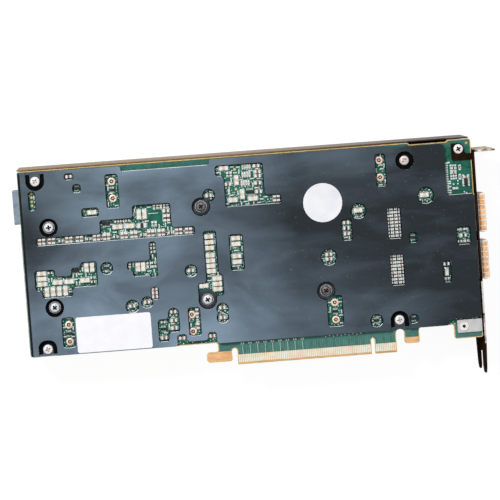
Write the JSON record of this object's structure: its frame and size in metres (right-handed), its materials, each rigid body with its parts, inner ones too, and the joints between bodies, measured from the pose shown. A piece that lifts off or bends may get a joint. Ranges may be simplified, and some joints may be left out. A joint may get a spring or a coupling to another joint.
{
  "type": "fpga accelerator card",
  "caption": "Server accelerator card on its shroud: windowed dark backplate over a green board with gold edge contacts, slot bracket and network cages.",
  "frame": {"origin": "on the shroud's outer face, under the middle of the board", "axes": "+X along the board towards the slot bracket, +Y from the edge contacts to the top edge, +Z out of the board's back"},
  "size_m": [0.2576, 0.1274, 0.0392],
  "materials": {
    "board_green": "solder mask over glass-fibre board, bare tan at the edges",
    "contact_gold": "thin gold plating",
    "pad_copper": "bare plated copper",
    "plate_dark": "satin dark coating on sheet metal",
    "screw_steel": "bright plated steel",
    "fin_aluminium": "plain extruded aluminium",
    "shroud_bronze": "satin bronze coating on sheet metal",
    "grille_grey": "plain plated sheet",
    "bracket_nickel": "dull nickel plating",
    "cage_steel": "plain stamped sheet",
    "spring_copper": "bare copper alloy spring strip",
    "header_plastic": "moulded connector plastic",
    "chip_black": "moulded chip body",
    "chip_tan": "ceramic body with tinned ends",
    "chip_grey": "ceramic body with tinned ends",
    "lid_nickel": "nickel-plated lid",
    "pad_grey": "soft filled pad",
    "paper_white": "bare printed-stock sticker"
  },
  "bodies": {
    "root": {"circuit_board": "board_green", "back_contacts": "contact_gold", "front_contacts": "contact_gold", "plated_rings": "pad_copper", "backplate": "plate_dark", "backplate_pad": "pad_grey", "foot_screws": "screw_steel", "well_screws": "screw_steel", "washers": "screw_steel", "heat_sink": "fin_aluminium", "sink_posts": "fin_aluminium", "standoffs": "screw_steel", "chip_substrate": "board_green", "chip_lid": "lid_nickel", "thermal_paste": "pad_grey", "memory_chips": "chip_black", "power_inductors": "chip_grey", "power_stages": "chip_black", "bulk_capacitors": "chip_tan", "shroud": "shroud_bronze", "shroud_screws": "screw_steel", "inlet_grille": "grille_grey", "slot_bracket": "bracket_nickel", "tab_screws": "screw_steel", "tab_nuts": "screw_steel", "lower_cage": "cage_steel", "upper_cage": "cage_steel", "lower_collar": "spring_copper", "upper_collar": "spring_copper", "host_connectors": "header_plastic", "power_header": "header_plastic", "header_pins": "contact_gold", "large_capacitors": "chip_tan", "medium_capacitors": "chip_tan", "small_capacitors": "chip_tan", "chip_resistors": "chip_black", "resistor_arrays": "chip_grey", "little_chips": "chip_grey", "oscillator": "lid_nickel", "label": "paper_white", "round_seal": "paper_white"}
  },
  "joints": []
}
